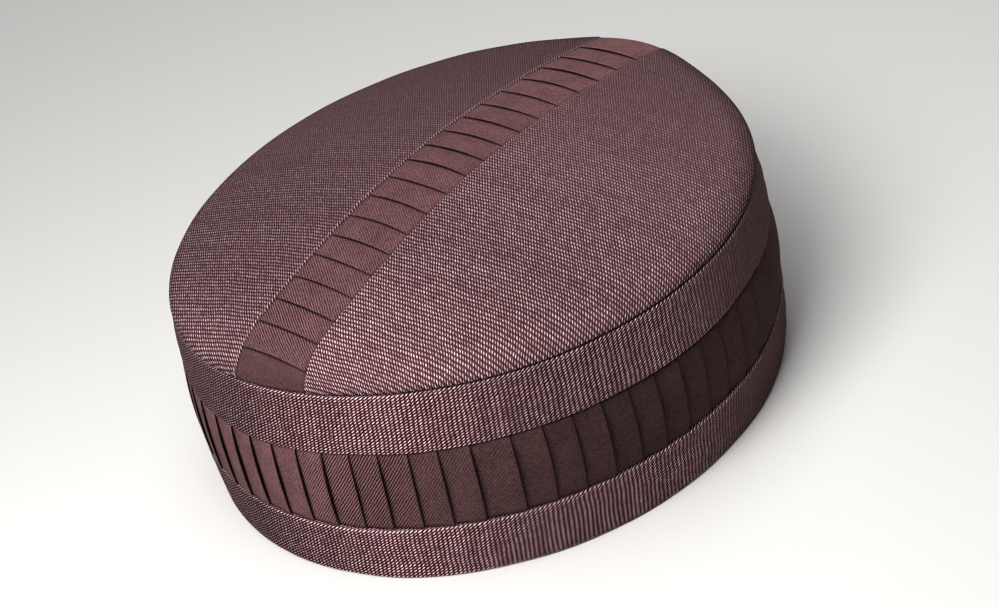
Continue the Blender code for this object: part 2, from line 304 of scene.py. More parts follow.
def hopsack(name, column_mm, row_mm, lean, pits=1.0, beading=1.25):
    """Hopsack with its yarn pitch across and along the columns, in millimetres of the map, how
    far the columns lean, how dark its pits are, and how slim its strokes are. The attribute
    "clear" says how much of the weave shows at a point, "shade" the painted light and shade
    that scales its colour, and "edge_mm" how far a fold is."""
    material = bare_material(name)
    laid = add_node(material, "ShaderNodeUVMap", uv_map="cloth_mm")
    place = hand_laid(material, laid[0], HOPSACK_WAVES)
    across_columns = 1 / column_mm, -lean / column_mm
    across_strokes = -1 / column_mm, 1 / row_mm
    column, column_form = thread_rows(material, place, across_columns, YARN_POWER)
    stroke, stroke_form = thread_rows(material, place, across_strokes, beading)
    relief = add_node(material, "ShaderNodeMath", {0: column_form, 1: stroke_form},
                      operation="MULTIPLY")[0]

    # each yarn and each stroke has its own tone, slubs swell the yarn every few millimetres,
    # and single fibres show on it
    column_number = add_node(material, "ShaderNodeMath", {0: column}, operation="ROUND")
    stroke_number = add_node(material, "ShaderNodeMath", {0: stroke}, operation="ROUND")
    yarn_tone = add_node(material, "ShaderNodeTexWhiteNoise", {"W": column_number[0]},
                         noise_dimensions="1D")
    both = add_node(material, "ShaderNodeCombineXYZ",
                    {"X": column_number[0], "Y": stroke_number[0]})
    stroke_tone = add_node(material, "ShaderNodeTexWhiteNoise", {"Vector": both[0]},
                           noise_dimensions="2D")
    slub = add_node(material, "ShaderNodeTexNoise",
                    {"Vector": place, "Scale": 0.32, "Detail": 3.0}, noise_dimensions="2D")
    fibres = add_node(material, "ShaderNodeTexNoise",
                      {"Vector": place, "Scale": 3.4, "Detail": 2.0}, noise_dimensions="2D")
    tone = add_shares(material, YARN_TONE, [
        (stroke_tone["Value"], 0.40),
        (yarn_tone["Value"], 0.16),
        (slub["Fac"], 0.22),
        (fibres["Fac"], 0.40),
    ])

    # worn cloth draws in towards the mean
    light = add_node(material, "ShaderNodeMath", {0: relief, 1: tone}, operation="MULTIPLY")
    clear = add_node(material, "ShaderNodeAttribute", attribute_name="clear")
    contrast = add_node(material, "ShaderNodeMath", {0: clear["Fac"], 1: pits},
                        operation="MULTIPLY")
    light = add_node(material, "ShaderNodeMath", {0: light[0], 1: MEAN_LIGHT}, operation="SUBTRACT")
    light = add_node(material, "ShaderNodeMath", {0: light[0], 1: contrast[0], 2: MEAN_LIGHT},
                     operation="MULTIPLY_ADD", use_clamp=True)

    # the turned edge of a fold shows a brighter row of yarn
    edge = add_node(material, "ShaderNodeAttribute", attribute_name="edge_mm")
    bead = add_node(material, "ShaderNodeMapRange",
                    {"Value": edge["Fac"], "From Min": 0.4, "From Max": 1.5,
                     "To Min": 0.34, "To Max": 0.0}, interpolation_type="SMOOTHSTEP")
    light = add_node(material, "ShaderNodeMath", {0: bead[0], 1: stroke_form, 2: light[0]},
                     operation="MULTIPLY_ADD", use_clamp=True)[0]

    # from the ground to the side of the yarn, and on to its top
    lower = add_node(material, "ShaderNodeMapRange", {"Value": light, "From Max": SIDE_LIGHT})
    upper = add_node(material, "ShaderNodeMapRange", {"Value": light, "From Min": SIDE_LIGHT})
    yarn = add_node(material, "ShaderNodeMix",
                    {"Factor": lower[0], "A": srgb(HOPSACK_GROUND), "B": srgb(HOPSACK_SIDE)},
                    data_type="RGBA")
    yarn = add_node(material, "ShaderNodeMix",
                    {"Factor": upper[0], "A": yarn[2], "B": srgb(HOPSACK_LIGHT)},
                    data_type="RGBA")

    # yarns stand up a third of a millimetre, their fibres roughen them, and all of it is matt
    height = add_node(material, "ShaderNodeMath", {0: fibres["Fac"], 1: 0.75}, operation="ADD")
    height = add_node(material, "ShaderNodeMath", {0: relief, 1: height[0]}, operation="MULTIPLY")
    finish_cloth(material, yarn[2], height[0], 0.8, 0.00035, roughness=0.9, gloss=0.08)
    return material


def band_section(low, high):
    """Section of a band, round from its lower fold over the face to its upper fold and back
    along the inside: height, depth, millimetres along the cloth, and distance to the fold."""
    turn = np.radians(np.linspace(0, 90, 6))
    fold_out = FOLD_ROUND * (1 - np.cos(turn))
    fold_in = FOLD_ROUND * (1 - np.sin(turn))
    face = np.linspace(low + FOLD_ROUND, high - FOLD_ROUND, 12)[1:-1]
    inside = np.linspace(high, low, 5)
    heights = np.concatenate([low + fold_out, face, high - fold_out[::-1], inside])
    depths = np.concatenate([fold_in, 0 * face, fold_in[::-1], 0 * inside + CLOTH_WALL])
    step = np.hypot(np.diff(heights, append=heights[:1]), np.diff(depths, append=depths[:1]))
    along = np.concatenate([[0], np.cumsum(step)]) / MM
    upper_fold = len(heights) - len(inside) - 1
    to_fold = np.minimum(along[:-1], along[upper_fold] - along[:-1])
    return heights, depths, along, to_fold


def add_band(name, node, low, high, column_mm, row_mm, lean):
    """Ring of cloth: the band's section carried round the wall, with a whole number of yarn
    columns round it so that the weave meets itself."""
    heights, depths, along, to_fold = band_section(low, high)
    angle = np.arange(BAND_AROUND) * 2 * np.pi / BAND_AROUND
    outside = (depths < CLOTH_WALL)[:, None]
    height = heights[:, None]
    depth = depths[:, None] + outside * ripple(angle, height)
    points = wall_point(angle[None, :], height, depth).reshape(-1, 3)
    girth = np.pi * (RIM_LENGTH + RIM_WIDTH) / 2 / MM
    whole = round(girth / column_mm) * column_mm
    quads, places = grid_quads(len(heights), BAND_AROUND, True)
    u = np.linspace(0, whole, BAND_AROUND + 1)
    lattice = joined(u[None, :], along[:, None]).reshape(-1, 2)
    edge = np.broadcast_to(to_fold[:, None], (len(heights), BAND_AROUND))
    around = np.degrees(angle)
    # painted light and shade round the band by direction, and painted shade at its folds
    clear = from_table(around, BAND_CLEAR_AND_SHADE, 1) + 0 * edge
    lit = np.clip((edge - FOLD_SHADE_FROM_MM) / FOLD_SHADE_REACH_MM, 0, 1)
    shade = (FOLD_SHADE + (1 - FOLD_SHADE) * lit) * from_table(around, BAND_CLEAR_AND_SHADE, 2)
    band = add_cloth(name, points, quads, lattice[places],
                     hopsack(name + "_hopsack", column_mm, row_mm, lean, beading=BAND_BEADING),
                     edge_mm=edge, shade=shade, clear=clear)
    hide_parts(node)


add_band("lower_band_cloth", "lower_band", *LOWER_BAND, column_mm=1.342, row_mm=0.948, lean=0.06)


# Side tape
# One-inch twill tape, laid in knife pleats and sewn between the two bands. Each pleat ends in
# a soft fold that stands open over the next one, so a dark slit shows beside every fold.

# Heights, depths and middling radius in metres: the tape lies a little behind the bands' faces
TAPE_BOTTOM = 0.0177
TAPE_TOP = 0.0433
SIDE_RECESS = 0.0012
TAPE_RADIUS = 0.0945
# Round this direction the pleats lie pressed flat, and the tape is flush with the bands
PRESSED_DIRECTION = 60
PRESSED_REACH = 24
PRESSED_RECESS = 0.0003
PRESSED_FLAT = 0.55

# A pleat's own sizes are in millimetres: what shows of it, and the tape that it takes
PLEAT_PITCH = 8.85
PLEAT_TAPE = 14.0
TAPE_WIDTH = 25.6
# The first fold lies in this direction
FOLD_DIRECTION = 91.6
TAPE_ROWS = 22
# Rows of the map for the plain inner side, which follow on past the tape's upper edge
INNER_ROWS = [28.0, 40.0, 52.0, 54.0]
# Where the pleats are wider or narrower: direction, reach in degrees, share of the width
PLEAT_SPREAD = np.array([
    (71.6, 3.5, 0.31),
    (134.7, 3.5, 0.40),
    (104, 20, 0.065),
    (166, 12, -0.06),
])
# Where a fold lies beside its even place, in millimetres: direction, at the foot, at the top
FOLD_LEAN = np.array([
    (60, 0.9, 0.2),
    (78, 0.9, -0.5),
    (92, 0.8, -0.5),
    (100, 0.5, -0.2),
    (115, 0.0, -0.1),
    (135, 0.2, 0.3),
    (158, 0.5, 0.4),
    (185, 0.4, 0.2),
    (270, 0.0, 0.4),
    (340, 0.5, 0.0),
])
# The folds bow a little, and no two are alike: the scatter of their place and their bow in
# millimetres, and of their thickness as a share
PLEAT_SEED = 7
FOLD_SCATTER = 0.10
FOLD_BOW = 0.25
BOW_SCATTER = 0.12
THICKNESS_SCATTER = 0.10
# The painted shade in the slits is strongest in mid-tape and loses a quarter at the sewn edges
SLIT_SHADE_AT_EDGE = 0.75
# Round the tape: direction, how much of the ribs shows, and painted light and shade on the cloth
TAPE_CLEAR_AND_SHADE = np.array([
    (60, 0.10, 1.10),
    (92, 0.15, 1.25),
    (97, 0.45, 1.16),
    (102, 1.40, 1.10),
    (108, 1.50, 0.90),
    (114, 1.25, 0.83),
    (120, 0.55, 0.75),
    (140, 0.10, 0.50),
    (155, 0.10, 0.41),
    (185, 0.10, 0.48),
    (300, 0.40, 0.85),
])


def fold_angles():
    """Angles of the folds: even, but crowded by 1 / (1 + spread) where the table says so."""
    pleats = round(np.pi * (RIM_LENGTH + RIM_WIDTH) / 2 / MM / PLEAT_PITCH)
    angle = math.radians(FOLD_DIRECTION) + np.linspace(0, 2 * np.pi, 3601)
    spread = np.zeros_like(angle)
    for direction, reach, share in PLEAT_SPREAD:
        spread = spread + share * nearness(angle, direction, reach)
    crowding = 1 / (1 + spread)
    passed = np.concatenate([[0], np.cumsum((crowding[1:] + crowding[:-1]) / 2)])
    return np.interp(np.arange(pleats + 1) * passed[-1] / pleats, passed, angle)


def pleat_outline(across, mouth, shut, cloth, under):
    """Section of one pleat in millimetres, as run along the tape and rise over its bed, for
    rows at a share across the tape.

    It starts under the fold before it, climbs over the pleat's width to the fold, goes round
    the fold's nose in a half circle as thick as the doubled cloth, and back under it. The
    mouth under the nose is open most in mid-tape and pressed shut at the sewn edges. The last
    two arrays are how far along the cloth a point is, and how deep it lies in the slit.
    """
    swell = np.sin(np.pi * np.clip(across, 0, 1))[:, None]
    thick = cloth * (0.5 + 0.5 * swell ** 0.5)
    gap = shut + (mouth - shut) * swell ** 0.6
    reach = 0.4 + under * swell ** 0.5
    bed = np.array([0.0, 0.55])
    face = np.concatenate([[0.0, 0.04, 0.09], np.linspace(0.16, 0.9, 8), [0.96, 1.0]])
    nose = np.radians([60, 30, 0, -30, -60, -90])
    back = np.array([0.3, 0.65])
    top = thick + gap
    run = np.hstack([
        -reach * (1 - bed),
        PLEAT_PITCH * face + 0 * reach,
        PLEAT_PITCH + thick / 2 * np.cos(nose),
        PLEAT_PITCH - reach * back,
    ])
    rise = np.hstack([
        0 * reach * bed,
        top * face ** 1.15 + 0.12 * swell * np.sin(np.pi * face),
        gap + thick / 2 + thick / 2 * np.sin(nose),
        gap * (1 - back),
    ])
    slit = np.concatenate([
        0 * bed + 1,
        np.clip(1 - face * PLEAT_PITCH / 0.5, 0, 1) ** 0.7,
        [0, 0, 0.05, 0.35, 0.8, 1],
        0 * back + 1,
    ])
    along = np.concatenate([
        (bed - 1) * under,
        PLEAT_PITCH * face,
        PLEAT_PITCH + cloth * np.arange(1, 7) / 4,
        PLEAT_PITCH + cloth * 1.5 + under * back,
    ])
    return run, rise, along, slit


# Twill tape of cotton, dyed mauve brown: fine slanted ribs 0.75 mm apart, which hold a little
# light on their tops. It is matt, and painted shade makes it nearly black in the slits.
TWILL_RIB = "926f70"
TWILL_GROOVE = "2a1718"
TWILL_PITCH = 0.75
RIB_POWER = 1.5
# The ribs waver, by the same three values as the hopsack's yarns
TWILL_WAVES = [(0.5, 2.0, 0.5)]
# How light the ribs are in the mean
TWILL_MEAN = 0.42
# Weft threads a millimetre, which cross the ribs faintly
WEFT_COUNT = 1.9
# The fibres, the mottle and the clouds of the dye bring in this much light in the mean
DYE_MEAN = 0.76
# What painted shade leaves of the colour at the bottom of a slit
PAINTED_SLIT_LIGHT = 0.15


def twill_tape(name, tilt):
    """Twill whose ribs are tilted from across the tape by degrees: a wave along the map
    direction (cos, -sin) of the tilt. The attributes are the hopsack's, and "slit" says how
    deep in a slit a point lies."""
    material = bare_material(name)
    tape_map = add_node(material, "ShaderNodeUVMap", uv_map="cloth_mm")
    place = hand_laid(material, tape_map[0], TWILL_WAVES)
    ribs = (math.cos(math.radians(tilt)) / TWILL_PITCH, -math.sin(math.radians(tilt)) / TWILL_PITCH)
    rib_form = thread_rows(material, place, ribs, RIB_POWER)[1]
    weft_form = thread_rows(material, place, (0.0, WEFT_COUNT), 1.0)[1]
    fibres, cloud, mottle = (
        add_node(material, "ShaderNodeTexNoise",
                 {"Vector": place, "Scale": scale, "Detail": detail},
                 noise_dimensions="2D")["Fac"]
        for scale, detail in ((2.2, 3.0), (0.12, 2.0), (0.8, 2.0)))

    # ribs show as far as the tape is clear, and the dye is uneven at three scales
    clear = add_node(material, "ShaderNodeAttribute", attribute_name="clear")
    light = add_node(material, "ShaderNodeMath", {0: rib_form, 1: TWILL_MEAN}, operation="SUBTRACT")
    light = add_shares(material, TWILL_MEAN, [
        (light[0], clear["Fac"]),
        (weft_form, 0.12),
        (fibres, 0.90),
        (cloud, 0.25),
        (mottle, 0.40),
    ])
    light = add_node(material, "ShaderNodeMath", {0: light, 1: DYE_MEAN}, operation="SUBTRACT",
                     use_clamp=True)
    dyed = add_node(material, "ShaderNodeMix",
                    {"Factor": light[0], "A": srgb(TWILL_GROOVE), "B": srgb(TWILL_RIB)},
                    data_type="RGBA")
    # painted shade: the colour darkens towards the bottom of a slit
    slit = add_node(material, "ShaderNodeAttribute", attribute_name="slit")
    shade = add_node(material, "ShaderNodeMapRange",
                     {"Value": slit["Fac"], "To Min": 1.0, "To Max": PAINTED_SLIT_LIGHT})
    dyed = add_node(material, "ShaderNodeVectorMath", {0: dyed[2], "Scale": shade[0]},
                    operation="SCALE")
    height = add_shares(material, fibres, [(rib_form, 0.7)])
    finish_cloth(material, dyed[0], height, 0.5, 0.00015, roughness=0.8, gloss=0.15)
    return material


def add_side_tape():
    """The pleats side by side round the wall: each point is a place on the wall, turned by its
    run and lifted by its rise, and a plain inner side closes the ring."""
    folds = fold_angles()
    pleats = len(folds) - 1
    dice = np.random.default_rng(PLEAT_SEED)
    across = np.linspace(0, 1, TAPE_ROWS)
    run, rise, along, slit = pleat_outline(across, mouth=0.95, shut=0.25, cloth=0.70, under=2.0)
    stations = run.shape[1]

    # each fold stands a little beside its even place, leans and bows in its own way
    lip = np.degrees(folds[1:]) % 360
    foot_place = from_table(lip, FOLD_LEAN, 1) + dice.normal(0, FOLD_SCATTER, pleats)
    top_place = from_table(lip, FOLD_LEAN, 2) + dice.normal(0, FOLD_SCATTER, pleats)
    bow = FOLD_BOW + dice.normal(0, BOW_SCATTER, pleats)
    puff = 1 + dice.normal(0, THICKNESS_SCATTER, pleats)
    pressed = np.exp(-((lip - PRESSED_DIRECTION) / PRESSED_REACH) ** 2)
    puff = puff * (1 - PRESSED_FLAT * pressed)
    recess = SIDE_RECESS - (SIDE_RECESS - PRESSED_RECESS) * pressed
    lean = foot_place[:, None] * (1 - across) + top_place[:, None] * across
    lean = lean + bow[:, None] * np.sin(np.pi * across)
    lean_before = np.roll(lean, 1, axis=0)

    share = run[None] / PLEAT_PITCH
    width = np.diff(folds)[:, None, None]
    shift = lean_before[..., None] + (lean - lean_before)[..., None] * np.clip(share, 0, 1)
    angle = folds[:-1][:, None, None] + width * share + shift * MM / TAPE_RADIUS
    lift = rise[None] * puff[:, None, None]
    height = TAPE_BOTTOM + SEAM_GAP / 2 + (TAPE_TOP - TAPE_BOTTOM - SEAM_GAP) * across
    face = wall_point(angle, height[None, :, None], recess[:, None, None] - lift * MM)
    face = face.transpose(1, 0, 2, 3).reshape(TAPE_ROWS, pleats * stations, 3)
    even = folds[0] + np.arange(pleats * stations) * 2 * np.pi / (pleats * stations)
    inner_height = np.array([height[-1], height.mean(), height[0]])
    inner = wall_point(even[None, :], inner_height[:, None], CLOTH_WALL)
    points = np.concatenate([face, inner]).reshape(-1, 3)

    quads, places = grid_quads(TAPE_ROWS + len(inner), pleats * stations, True)
    laid = (np.arange(pleats)[:, None] * PLEAT_TAPE + along[None, :]).ravel()
    laid = np.append(laid, pleats * PLEAT_TAPE + along[0])
    up = np.concatenate([across * TAPE_WIDTH, INNER_ROWS])
    lattice = joined(laid[None, :], up[:, None]).reshape(-1, 2)
    # how deep in a slit each point lies, which sets the slits' painted shade
    depth = np.broadcast_to(np.tile(slit, pleats), (TAPE_ROWS, pleats * stations))
    depth = depth * (SLIT_SHADE_AT_EDGE + (1 - SLIT_SHADE_AT_EDGE) * np.sin(np.pi * across) ** 0.5)[:, None]
    depth = np.vstack([depth, np.zeros((len(inner), pleats * stations))])
    # painted light and shade round the tape by direction, and how much of its ribs shows
    around = np.degrees(even)
    shade = from_table(around, TAPE_CLEAR_AND_SHADE, 2) + 0 * depth
    clear = from_table(around, TAPE_CLEAR_AND_SHADE, 1) + 0 * depth
    tape = add_cloth("side_tape_pleats", points, quads, lattice[places],
                     twill_tape("side_tape_twill", tilt=37),
                     slit=depth, shade=shade, clear=clear)
    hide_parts("side_tape")


add_side_tape()


# Upper band
# The same hopsack strip as the lower band, between the pleated tape and the crown seam. It
# is cut a shade finer along its columns, and it follows the dents of the crown.

UPPER_BAND = (TAPE_TOP + SEAM_GAP / 2, SEAM_HEIGHT - SEAM_GAP / 2)
add_band("upper_band_cloth", "upper_band", *UPPER_BAND, column_mm=1.42, row_mm=0.852, lean=0.05)


# Crown tape
# The same knife-pleated tape, laid over the crown from back to front between the two crown
# panels. Its folds face the back, and its plain ends turn down into the crown seam.

# Form of the crown, in metres: a dome whose edge rolls over into the seam
DOME_RISE = 0.0140
DOME_POWER = 1.80
EDGE_ROLL = 0.0014
HALF_WIDTH = CROWN_WIDTH / 2
CROWN_RADIUS = (HALF_LENGTH + HALF_WIDTH) / 2
ROLL_SHARE = EDGE_ROLL / CROWN_RADIUS

# The tape, in metres: it lies a little lower than the panels, and nearly flush at its ends
TAPE_HALF = 0.0128
TAPE_RECESS = 0.0006
END_RECESS = 0.0002
TUCK_DEGREES = np.array([0, 22, 45, 67, 90])
# Places of the folds along Y in millimetres, from the front to the back
CROWN_FOLDS = np.array([
    -84.5, -74.9, -65.3, -55.8, -45.8, -36.4, -27.4, -18.8, -10.2, -1.8,
    7.1, 16.4, 25.7, 34.2, 42.5, 51.5, 60.2, 68.4, 77.7,
])
CROWN_TAPE_COLUMNS = 24
# How the folds slant and bow over the tape, as a share and in millimetres, and their scatter
CROWN_SLANT = -0.055
CROWN_SLANT_SCATTER = 0.008
CROWN_BOW = -0.3
CROWN_THICKNESS_SCATTER = 0.08
# Stations on the face of the pleat that comes up out of the front seam
FACE_STATIONS = 10
# The last fold hangs over a plain end: stations from the fold to the seam, as shares of the
# way, and how much of the slits' painted shade they and the two stations under the fold take
PLAIN_END = np.array([0.0, 0.04, 0.1, 0.25, 0.5, 0.75])
PLAIN_END_SLIT_SHADE = [1, 1, 1, 0.5, 0.2, 0.2, 0.2, 0.2]
PLAIN_END_LAID = np.array([-1.6, -0.7, 0, 0.4, 1.2, 3, 6, 9])
# Places in the map, in millimetres, of the parts that are tucked into the seams
FRONT_TUCK_LAID = -27
BACK_TUCK_LAID = 12
TUCK_STEP = 0.5
# The back tuck takes a quarter of the slits' painted shade
BACK_TUCK_SLIT_SHADE = 0.25
# The plain underside runs out to this share of the way to the seam
UNDERSIDE_SHARE = 0.92

# The tape was sewn askew at the back: its end turns about the crown's middle by this many
# degrees, from this share of the way to the seam, and fades within so many degrees
BACK_TURN = 4.6
TURN_START = 0.78
TURN_REACH = 26.0

# Along Y in metres: painted light and shade on the cloth, and how much of the ribs shows
CROWN_TAPE_SHADE = np.array([
    (-0.090, 1.42),
    (-0.020, 1.08),
    (0.030, 0.94),
    (0.060, 0.94),
    (0.080, 0.95),
    (0.088, 0.74),
])
CROWN_TAPE_CLEAR = np.array([
    (-0.090, 0.10),
    (-0.030, 0.25),
    (0.030, 0.45),
    (0.074, 1.00),
    (0.082, 0.40),
    (0.088, 0.10),
])


def crown_share(x, y):
    """How far out a point of the crown lies: 0 in its middle and 1 on its seam."""
    across = x / HALF_WIDTH
    along = (y + CROWN_LEAN) / HALF_LENGTH
    return np.hypot(across, along) / (1 + dent_share(np.arctan2(along, across)))


def dome_height(x, y):
    """Crown without its rolled edge: rise * (1 - share^power) above the tilted seam."""
    dome = DOME_RISE * (1 - np.clip(crown_share(x, y), 0, 1) ** DOME_POWER)
    return SEAM_HEIGHT - SEAM_RISE * y / HALF_LENGTH + FOLD_ROUND + EDGE_ROLL + dome


def flatness(x, y):
    """1 on the dome, falling in a quarter circle to 0 where the rolled edge stands upright."""
    over = np.clip((crown_share(x, y) - 1 + ROLL_SHARE) / ROLL_SHARE, 0, 1)
    return np.sqrt(np.clip(1 - over ** 2, 0, 1))


def rolled_height(x, y):
    """Crown with its rolled edge: the dome, less the roll where it isn't flat."""
    return dome_height(x, y) - EDGE_ROLL * (1 - flatness(x, y))


def seam_height(y):
    """Lower edge of the crown pieces, half a gap above the tilted seam."""
    return SEAM_HEIGHT - SEAM_RISE * y / HALF_LENGTH + SEAM_GAP / 2


def tape_end(x, share, end):
    """Y at which the line of each x meets a crown share, behind (1) or in front (-1). The
    dents there depend on the place itself, so it is found by repeating the step."""
    across = x / HALF_WIDTH
    along = end * share + 0 * across
    for _ in range(20):
        press = 1 + dent_share(np.arctan2(along, across))
        along = end * np.sqrt((share * press) ** 2 - across ** 2)
    return HALF_LENGTH * along - CROWN_LEAN


def tucked_end(x, end, depth):
    """Row of points on the seam's height, a depth in from the crown's outline at one end."""
    y = tape_end(x, 1 - depth / CROWN_RADIUS, end)
    return joined(x, y, seam_height(y))


def turn_back_end(points):
    """Crown points with the tape's back end turned to the right about the crown's middle: by
    the square of the share past its start, fading to the sides as exp(-(angle / reach)^2)."""
    x, y, z = points[..., 0], points[..., 1], points[..., 2]
    share = crown_share(x, y)
    angle = np.arctan2((y + CROWN_LEAN) / HALF_LENGTH, x / HALF_WIDTH)
    growth = np.clip((share - TURN_START) / (1 - TURN_START), 0, None) ** 2
    fading = np.exp(-((angle - math.pi / 2) / math.radians(TURN_REACH)) ** 2)
    turned = angle + math.radians(BACK_TURN) * growth * fading
    press = (1 + dent_share(turned)) * share
    new_x = HALF_WIDTH * np.cos(turned) * press
    new_y = HALF_LENGTH * np.sin(turned) * press - CROWN_LEAN
    new_z = z - SEAM_RISE * (new_y - y) / HALF_LENGTH
    return joined(new_x + RIM_MIDDLE[0], new_y + RIM_MIDDLE[1], new_z)


def pillow_quads(rows, columns):
    """Quads of a front grid, of a back grid behind it, and of the strip that joins their rims."""
    front, places = grid_quads(rows, columns, False)
    count = rows * columns
    grid = np.arange(count).reshape(rows, columns)
    rim = np.concatenate([grid[0, :-1], grid[:-1, -1], grid[-1, :0:-1], grid[:0:-1, 0]])
    after = np.roll(rim, -1)
    strip = np.stack([after, rim, rim + count, after + count], axis=1)
    quads = np.vstack([front, front[:, ::-1] + count, strip])
    lattice_places = np.vstack([places, places[:, ::-1], strip % count])
    return quads, lattice_places


def add_crown_tape():
    """Pleats along the tape: stations run from the front seam over the crown to the back seam,
    and each column across the tape is the crown's own curve, lifted by the pleat's rise."""
    dice = np.random.default_rng(PLEAT_SEED + 1)
    across = np.linspace(0, 1, CROWN_TAPE_COLUMNS)
    x = (TAPE_HALF * (2 * across - 1))[:, None]
    run, rise, along, slit = pleat_outline(across, mouth=0.50, shut=0.12, cloth=0.60, under=1.6)
    pleats = len(CROWN_FOLDS)

    slant = CROWN_SLANT + dice.normal(0, CROWN_SLANT_SCATTER, pleats)
    bow = CROWN_BOW + dice.normal(0, BOW_SCATTER, pleats)
    puff = 1 + dice.normal(0, CROWN_THICKNESS_SCATTER, pleats)
    lean = slant[:, None] * x[:, 0] / MM + bow[:, None] * np.sin(np.pi * across)
    lips = CROWN_FOLDS[:, None] + lean

    # from the second fold on, each pleat starts under the lip before it
    share = run[None] / PLEAT_PITCH
    before, here = lips[:-1, :, None], lips[1:, :, None]
    y = before + (here - before) * share
    y = y.transpose(1, 0, 2).reshape(len(across), -1) * MM
    lift = rise[None] * puff[1:, None, None]
    lift = lift.transpose(1, 0, 2).reshape(len(across), -1) * MM
    depth = np.tile(slit, (len(across), pleats - 1))
    laid = (np.arange(pleats - 1)[:, None] * PLEAT_TAPE + along[None, :]).ravel()

    # the pleat in front of the first fold comes up out of the front seam, so it has no bed, and
    # no slit lies on its face
    inset = END_RECESS / CROWN_RADIUS
    front_start = tape_end(x, 1 - ROLL_SHARE - inset, -1)
    climb = run[:, 3:] / PLEAT_PITCH
    first_lip = lips[0][:, None] * MM
    first_y = np.where(climb <= 1, front_start + (first_lip - front_start) * climb,
                       first_lip + (run[:, 3:] - PLEAT_PITCH) * MM)
    first_lift = rise[:, 3:] * MM
    on_face = np.arange(run.shape[1] - 3) < FACE_STATIONS
    first_slit = np.tile(np.where(on_face, 0, slit[3:]), (len(across), 1))
    first_laid = along[3:] - PLEAT_TAPE

    # the last lip hangs over a plain end that turns down into the back seam
    last_lip = lips[-1][:, None] * MM
    back_end = tape_end(x, 1 - ROLL_SHARE - inset, 1)
    last_y = np.hstack([last_lip + run[:, :2] * MM, last_lip + (back_end - last_lip) * PLAIN_END])
    last_lift = np.zeros_like(last_y)
    last_slit = np.tile(PLAIN_END_SLIT_SHADE, (len(across), 1))
    last_laid = (pleats - 1) * PLEAT_TAPE + PLAIN_END_LAID

    # both ends roll over with the crown's edge
    tuck = np.radians(TUCK_DEGREES)
    front_shares = 1 - ROLL_SHARE * (1 - np.sin(tuck[::-1])) - inset
    back_shares = 1 - ROLL_SHARE * (1 - np.sin(tuck)) - inset
    front_y = np.hstack([tape_end(x, share, -1) for share in front_shares])
    back_y = np.hstack([tape_end(x, share, 1) for share in back_shares])
    tuck_laid = np.arange(len(tuck)) * TUCK_STEP
    y = np.hstack([front_y, first_y, y, last_y, back_y])
    lift = np.hstack([0 * front_y, first_lift, lift, last_lift, 0 * back_y])
    depth = np.hstack([0 * front_y, first_slit, depth, last_slit, 0 * back_y + BACK_TUCK_SLIT_SHADE])
    laid = np.concatenate([FRONT_TUCK_LAID + tuck_laid, first_laid, laid, last_laid,
                           (pleats - 1) * PLEAT_TAPE + BACK_TUCK_LAID + tuck_laid])

    wide_x, wide_y = x / (1 - inset), (y + CROWN_LEAN) / (1 - inset) - CROWN_LEAN
    recess = TAPE_RECESS - (TAPE_RECESS - END_RECESS) * crown_share(wide_x, wide_y) ** 8
    z = rolled_height(wide_x, wide_y) - recess * flatness(wide_x, wide_y) + lift
    face = joined(x, y, z)

    # turned in at both ends, and the plain underside of the tape
    face_depth = TAPE_RECESS + FOLD_ROUND
    face = np.concatenate([tucked_end(x, -1, face_depth), face, tucked_end(x, 1, face_depth)],
                          axis=1)
    depth = np.hstack([depth[:, :1], depth, depth[:, -1:]])
    laid = np.concatenate([[laid[0] - 1], laid, [laid[-1] + 1]])
    stations = face.shape[1]
    way = np.linspace(0, 1, stations - 2)
    low_y, high_y = tape_end(x, UNDERSIDE_SHARE, -1), tape_end(x, UNDERSIDE_SHARE, 1)
    under_y = low_y + (high_y - low_y) * way
    under = joined(x, under_y, dome_height(x, under_y) - CLOTH_WALL)
    under = np.concatenate([tucked_end(x, -1, CLOTH_WALL), under, tucked_end(x, 1, CLOTH_WALL)],
                           axis=1)
    points = turn_back_end(np.concatenate([face.reshape(-1, 3), under.reshape(-1, 3)]))

    quads, places = pillow_quads(len(across), stations)
    lattice = joined(laid[None, :], -x / MM).reshape(-1, 2)
    slit_value = np.concatenate([depth.ravel(), np.zeros(depth.size)])
    # painted light and shade along the tape, and how much of its ribs shows
    shade = np.interp(points[:, 1], CROWN_TAPE_SHADE[:, 0], CROWN_TAPE_SHADE[:, 1])
    clear = np.interp(points[:, 1], CROWN_TAPE_CLEAR[:, 0], CROWN_TAPE_CLEAR[:, 1])
    tape = add_cloth("crown_tape_pleats", points, quads, lattice[places],
                     twill_tape("crown_tape_twill", tilt=34),
                     slit=slit_value, shade=shade, clear=clear)
    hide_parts("crown_tape")


add_crown_tape()


# Crown panels
# Two half discs of hopsack. Each is folded under along the tape, which it overlaps a little,
# and rolls over a soft edge into the crown seam all round.

# The folded edge lies this far from the cap's middle line, and steps widen from it, in metres
PANEL_EDGE = 0.0131
EDGE_OFFSETS = np.array([0.0, 0.12, 0.28, 0.48, 0.75, 1.2]) * MM
PANEL_ROWS = 34
PANEL_COLUMNS = 120
PANEL_COLUMN_MM = 1.28
PANEL_ROW_MM = 0.97
PANEL_PITS = 0.95
# The dome swells unevenly by a tenth of a millimetre: size in metres, then turns a metre
# along X and along Y for the long swell, and for the one that runs askew
LONG_SWELL = (0.00010, 210, 170)
ASKEW_SWELL = (0.00008, 90, 140)
# Under the rolled edge the cloth turns in and down to the seam in two steps: a share, whose
# square times the fold's round is the way in, and height above the seam in metres
SEAM_TUCK = [(0.35, 0.35 * (SEAM_GAP + FOLD_ROUND)), (1.0, 0.0)]
